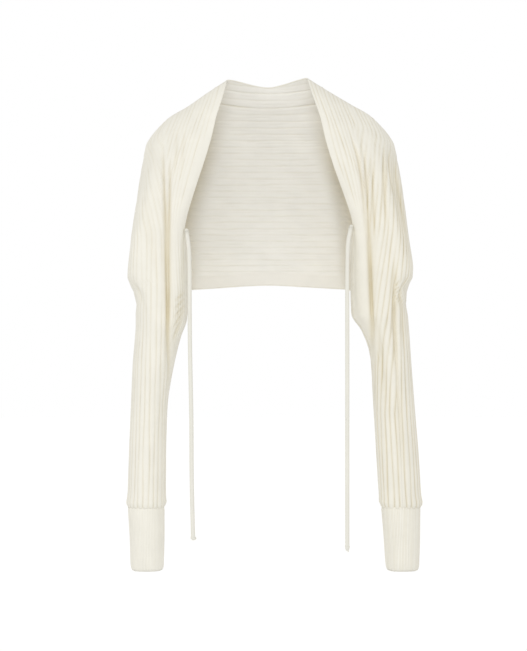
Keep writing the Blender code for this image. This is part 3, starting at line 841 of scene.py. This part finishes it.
# Back: the ribs run across, and bow up towards the shoulders near the neck.
backSettings = {
    "columns": 330, "halfRows": 55, "wall": 0.0012,
    "rise": 0.0050, "riseReach": 0.075, "riseMost": 0.0065, "riseFade": (-0.052, -0.041),
    "grooveAt": (-0.0047, 0.0163, 0.0390, 0.3390), "grooveCount": (-2.0, 0.0, 2.0, 31.4),
    # the ribs, and the fine ones between them: the rate and start of their drift, openness, unevenness
    # and seed
    "ribs": (1.7, 0.4, 0.6, 0.6, 7.0), "fineRibs": (1.9, 0.9, 0.8, 1.0, 3.0), "fineShare": 0.75,
    "ribDepth": 0.0008, "ribShade": 0.24, "shadePower": 1.3, "plainEdge": (0.002, 0.014),
    # how far inside the front edges the painted shade starts, how far outside them it is full, and the
    # depths between which it eases in
    "paintedEnclosedShade": (0.034, 0.004, -0.06, 0.16),
    # level, width and depth of the creases below the neck edge
    "neckFolds": ((-0.0163, 0.0013, 0.0010), (-0.0390, 0.0018, 0.0018)),
    # they have this share of their depth at the middle, and all of it from this far aside on
    "foldMiddle": 0.35, "foldFullAt": 0.060, "foldDrift": (0.25, 60.0, 90.0), "foldFade": (0.085, 0.105),
    "foldEdge": 0.012, "foldShade": (0.0003, 0.0040),
    "hem": 0.023, "hemBlend": (0.8, 1.15), "hemShade": 0.12,
    # the hem draws up: metres at the middle, more at this distance aside, how far up that reaches, and
    # where it fades out towards the sides
    "hemRise": (0.0022, 0.0030, 0.12, 0.060), "hemRiseFade": (0.126, 0.150),
    # ridges: the hem's line of stitches and the selvedge
    "hemStitches": (-0.0003, 0.021, 0.0011), "selvedge": (0.0003, 0.0, 0.0022),
    # middle, width and height of the long waves, how they sway on their way down, and where they start
    "waves": ((-0.062, 0.030, 0.0016), (0.038, 0.026, 0.0013), (0.098, 0.018, 0.0012),
              (-0.108, 0.016, 0.0012), (0.134, 0.015, -0.0055), (-0.134, 0.013, -0.0035)),
    "waveSway": (0.020, 9.0, 40.0), "waveFrom": (0.05, 0.16),
}


def underFronts(spots, settings):
    # how far the fronts enclose each point of the back, which sets the painted shade there: 0 in the open, 1
    # from their edges outwards
    inner, outer, low, high = settings
    edgeOut = np.zeros(len(spots))
    for side, (_, points) in sleeves.items():
        front = points[:sleeveSettings["yokeRows"] + 1, 0]
        mine = spots[:, 0] * across[side] > 0.0
        edgeOut = np.where(mine, np.interp(-spots[:, 2], -front[:, 2], np.abs(front[:, 0])), edgeOut)
    t = np.clip((np.abs(spots[:, 0]) - edgeOut + inner) / (inner + outer), 0.0, 1.0)
    return t ** 2 * ease(low, high, -spots[:, 2])


def backPanel(settings):
    shares = np.linspace(0.0, 1.0, settings["columns"] + 1)
    points = backSurface(shares, settings["halfRows"])
    area = flatArea(points)
    normals = -gridNormals(points)
    arc, along = gridLengths(points)
    x, up = points[..., 0], points[..., 2]
    bow = settings["rise"] * (x / settings["riseReach"]) ** 2
    level = up - np.minimum(bow, settings["riseMost"]) * ease(*settings["riseFade"], up)
    phase = np.interp(-level, settings["grooveAt"], settings["grooveCount"]) + 0.5
    rate, start, *knit = settings["ribs"]
    ribs = ribHeight(phase, rate * x + start, *knit)
    rate, start, *knit = settings["fineRibs"]
    fine = ribHeight(2.0 * phase + 0.5, rate * x + start, *knit)
    ribs = np.clip(ribs - settings["fineShare"] * (1.0 - fine), 0.0, 1.0)
    edge = np.minimum(along, along[-1:] - along)
    hemGap = arc[:, -1:] - arc
    begin, full = settings["hemBlend"]
    pastHem = ease(begin * settings["hem"], full * settings["hem"], hemGap)
    ribbed = ease(*settings["plainEdge"], edge) * pastHem
    relief = settings["ribDepth"] * ribbed * (ribs - ribLevel)

    creased = np.zeros_like(relief)
    aside = np.minimum(np.abs(x) / settings["foldFullAt"], 1.0) ** 2
    fading = 1.0 - ease(*settings["foldFade"], np.abs(x))
    least, (most, rateAcross, rateDown) = settings["foldMiddle"], settings["foldDrift"]
    for foldAt, foldWidth, foldDepth in settings["neckFolds"]:
        drift = most * wander(x * rateAcross, foldAt * rateDown, 1.0)
        depth = foldDepth * (least + (1.0 - least) * aside + drift) * fading
        creased += ridge(level, depth, foldAt, foldWidth) * ease(0.0, settings["foldEdge"], edge)
    relief -= creased
    sway, rate, offset = settings["waveSway"]
    for middle, spread, height in settings["waves"]:
        drift = middle + sway * np.sin(rate * up + middle * offset)
        relief += ridge(x, height, drift, spread) * ease(*settings["waveFrom"], -up)
    relief += ridge(hemGap, *settings["hemStitches"])
    relief += ridge(edge, *settings["selvedge"])
    points = points - normals * relief[..., None]
    hemRise, sideRise, sideAt, riseReach = settings["hemRise"]
    drawn = (hemRise + sideRise * (x / sideAt) ** 2) * (1.0 - ease(*settings["hemRiseFade"], np.abs(x)))
    points[..., 2] += drawn * (1.0 - ease(0.0, riseReach, hemGap))

    # painted shade: rib grooves and the neck folds are painted darker; the hem band is also a little darker
    paintedShade = settings["ribShade"] * ribbed * np.clip(1.0 - ribs, 0.0, 1.0) ** settings["shadePower"]
    paintedShade = paintedShade + settings["hemShade"] * (1.0 - pastHem)
    paintedShade = np.clip(paintedShade + ease(*settings["foldShade"], creased), 0.0, 1.0)
    half, centre = settings["halfRows"], len(shares) // 2
    mesh = clothMesh("shrug_back", points, (points[half, centre], normals[half, centre]), paintedShade,
                     np.stack([arc, along], axis=-1))
    # painted shade on the inside of the back where the fronts enclose it
    paintedEnclosedShade = underFronts(np.array([vert.co for vert in mesh.vertices]), settings["paintedEnclosedShade"])
    mesh.attributes.new("paintedEnclosedShade", "FLOAT", "POINT").data.foreach_set("value", paintedEnclosedShade.astype(np.float32))
    piece = addPiece("back_panel", mesh, ribKnit, "rib_knit", "back")
    mesh.materials.append(purlPaintedKnit)
    thicken(piece, settings["wall"]).material_offset = 1   # the purl side is the wall's inner face
    print("back area", round(area, 4))
    return piece, points


panel, backPoints = backPanel(backSettings)


# Cuffs: double rib, close and even, sewn in under the sleeve and rounded in a little at the open end.
cuffSettings = {
    "columns": 528, "heights": np.linspace(-0.6745, -0.7792, 27), "wall": 0.0020,
    "pitch": 0.0025, "ribDepth": 0.00034, "openness": 0.9, "unevenness": 0.25,
    "tuck": (0.0011, -0.6815, -0.6775),   # how deep it lies under the sleeve, and between which heights
    # at the open end: the ridge that turns it in; how much its sides rise, how near to them and over
    # what height; and how much, how fast and from how far above it the cloth wavers
    "lipIn": (-0.0016, 0.0, 0.0030), "lipRise": (0.0018, 6, 0.012), "waver": (0.0006, 9.0, 30.0, 0.03),
    "ribShade": {"right": 0.16, "left": 0.50},
    "outsideAt": (8, 99),   # the row and column where the outside is checked
}


def cuff(side, settings):
    shares = np.linspace(0.0, 1.0, settings["columns"] + 1)
    points = cuffSurface(side, shares, settings["heights"])
    area = flatArea(points)
    normals = unit(-across[side] * gridNormals(points, 0) * (1.0, 1.0, 0.0))
    arc, down = gridLengths(points)
    up = points[..., 2]
    count = round(float(arc[:, -1].mean()) / settings["pitch"])
    phase = shares[None, :] * count
    # how high a rib stands drifts with its number and the height
    evenness = 1.0 - settings["unevenness"] * wander(np.floor(phase + 0.5) * 1.7 % 19, up * 20, 2.0)
    ribs = np.abs(np.cos(np.pi * phase)) ** settings["openness"] * evenness
    toEnd = up - points[-1, 0, 2]
    lift = settings["ribDepth"] * (ribs - ribLevel)
    tuck, begin, full = settings["tuck"]
    lift -= tuck * ease(begin, full, up)
    lift += ridge(toEnd, *settings["lipIn"])
    most, rateRound, rateDown, reach = settings["waver"]
    drift = wander(shares[None, :] * rateRound, up * rateDown, 3.0 + across[side])
    lift += most * drift * ease(0.0, reach, toEnd)
    points = points + normals * lift[..., None]
    middleOut = points[..., 0].mean(axis=1, keepdims=True)
    halfWidth = np.abs(points[..., 0] - middleOut).max(axis=1, keepdims=True)
    sideways = np.abs((points[..., 0] - middleOut) / halfWidth)
    rise, power, reach = settings["lipRise"]
    points[..., 2] += rise * sideways ** power * bell(toEnd, reach)
    points[:, 0] = points[:, -1] = 0.5 * (points[:, 0] + points[:, -1])
    # painted shade in the grooves between the ribs, more on the wearer's left cuff
    paintedShade = np.clip(1.0 - ribs, 0.0, 1.0) * settings["ribShade"][side]
    outward = (points[settings["outsideAt"]], normals[settings["outsideAt"]])
    mesh = clothMesh("shrug_cuff_" + side, points, outward, paintedShade, np.stack([arc, down], axis=-1), 0)
    piece = addPiece("cuff_rib_" + side, mesh, fineRib, "fine_rib", "cuff_" + side)
    thicken(piece, settings["wall"])
    print("cuff", side, "area", round(area, 4))
    return piece


cuffs = {side: cuff(side, cuffSettings) for side in across}


# Edges: the knit's own selvedge, rolled to a small even bead.
edgeSettings = {"radius": 0.0011, "sides": 8, "inset": 0.0004, "unevenness": 0.14, "wanderRate": 130.0,
                # a grid's column at its edge, and one inside it that shows which way is in
                "first": (0, 3), "last": (-1, -4)}


def edgeRoll(name, points, edge, settings):
    line, inside = (points[:, column] for column in settings[edge])
    line = line + unit(inside - line) * settings["inset"]
    drift = wander(lengthAlong(line) * settings["wanderRate"], 0.0, 2.0)
    radius = settings["radius"] * (1.0 + settings["unevenness"] * drift)
    return addTube(name, line, radius, settings["sides"], ribKnit, "rib_knit")


def edges(settings):
    rolls = {}
    for side, (_, points) in sleeves.items():
        yoke = points[:sleeveSettings["yokeRows"] + 1]
        rolls[side] = [edgeRoll("edge_front_" + side, yoke, "first", settings),
                       edgeRoll("edge_hem_" + side, yoke, "last", settings)]
    rolls["back"] = [edgeRoll("edge_neck", backPoints, "first", settings),
                     edgeRoll("edge_hem_back", backPoints, "last", settings)]
    return rolls


rolls = edges(edgeSettings)
print("edges rolled")


# Stitches: a short bar of thread that holds each cord to the front edge.
stitchSettings = {"count": 4, "thread": 0.00042, "reach": 0.0037, "spacing": 0.0017, "startRow": 5,
                  # how far each bar goes round the cord in radians, its slant, steps and sides
                  "turn": 1.25, "slant": 0.0006, "steps": 13, "sides": 6}


def rootStitches(side, line, settings):
    heading, sideways, lift = frameAlong(line)
    rowGap = np.linalg.norm(line[9] - line[8])   # from row to row near the root
    t = np.linspace(-settings["turn"], settings["turn"], settings["steps"])[:, None]
    made = []
    for number in range(settings["count"]):
        row = settings["startRow"] + int(number * settings["spacing"] / rowGap)
        bar = (line[row] + settings["reach"] * (np.sin(t) * sideways[row] + np.cos(t) * lift[row])
               + heading[row] * settings["slant"] * t)
        made.append(addTube(f"stitch_{side}_{number}", bar, settings["thread"], settings["sides"],
                            knittedCord, "knitted_cord"))
    return made


stitches = {side: rootStitches(side, tieLines[side], stitchSettings) for side in across}

# Plain pale studio: a large soft light in front of the garment, a smaller one to its right, and dim
# white air all round that looks white itself.
studio = {
    "floorUp": -1.42, "floorRadius": 30.0, "floorSides": 96, "floorColour": "#F4F3F0",
    "floorRoughness": 0.9, "floorGlow": 0.31, "air": 0.80, "airSeen": 1.0, "aim": (0.0, 0.0, -0.38),
    # place, size and watts
    "lights": {"front": ((-0.05, -4.6, 0.0), 1.8, 40.0), "key": ((-2.6, -2.6, 1.0), 1.2, 9.0)},
}


def makeStudio(settings):
    shape = bmesh.new()
    bmesh.ops.create_circle(shape, cap_ends=True, segments=settings["floorSides"],
                            radius=settings["floorRadius"])
    bmesh.ops.translate(shape, vec=(0.0, 0.0, settings["floorUp"]), verts=shape.verts)
    mesh = bpy.data.meshes.new("floor")
    shape.to_mesh(mesh)
    shape.free()
    floor = bpy.data.objects.new("floor", mesh)
    floor.visible_diffuse = False
    bpy.context.scene.collection.objects.link(floor)
    paint = bpy.data.materials.new("studioFloorPaint")
    paint.use_nodes = True
    shader = paint.node_tree.nodes["Principled BSDF"]
    for socketName, value in (("Base Color", linearColour(settings["floorColour"])),
                              ("Roughness", settings["floorRoughness"]),
                              ("Emission Color", (1.0, 1.0, 1.0, 1.0)),
                              ("Emission Strength", settings["floorGlow"])):
        shader.inputs[socketName].default_value = value
    mesh.materials.append(paint)

    world = bpy.data.worlds.new("studio")
    world.use_nodes = True
    tree = world.node_tree
    background = tree.nodes["Background"]
    background.inputs["Color"].default_value = (1.0, 1.0, 1.0, 1.0)
    ray = addNode(tree, "LightPath")
    strength = addNode(tree, "MapRange", {3: settings["air"], 4: settings["airSeen"],
                                          0: ray.outputs["Is Camera Ray"]})
    tree.links.new(strength.outputs[0], background.inputs["Strength"])
    bpy.context.scene.world = world

    for name, (place, size, watts) in settings["lights"].items():
        light = bpy.data.lights.new(name, "AREA")
        light.size = size
        light.energy = watts
        lamp = bpy.data.objects.new(name, light)
        lamp.location = place
        toGarment = Vector(settings["aim"]) - lamp.location
        lamp.rotation_euler = toGarment.to_track_quat("-Z", "Y").to_euler()
        bpy.context.scene.collection.objects.link(lamp)
    bpy.context.scene.view_settings.view_transform = "Standard"


makeStudio(studio)
print("studio set")
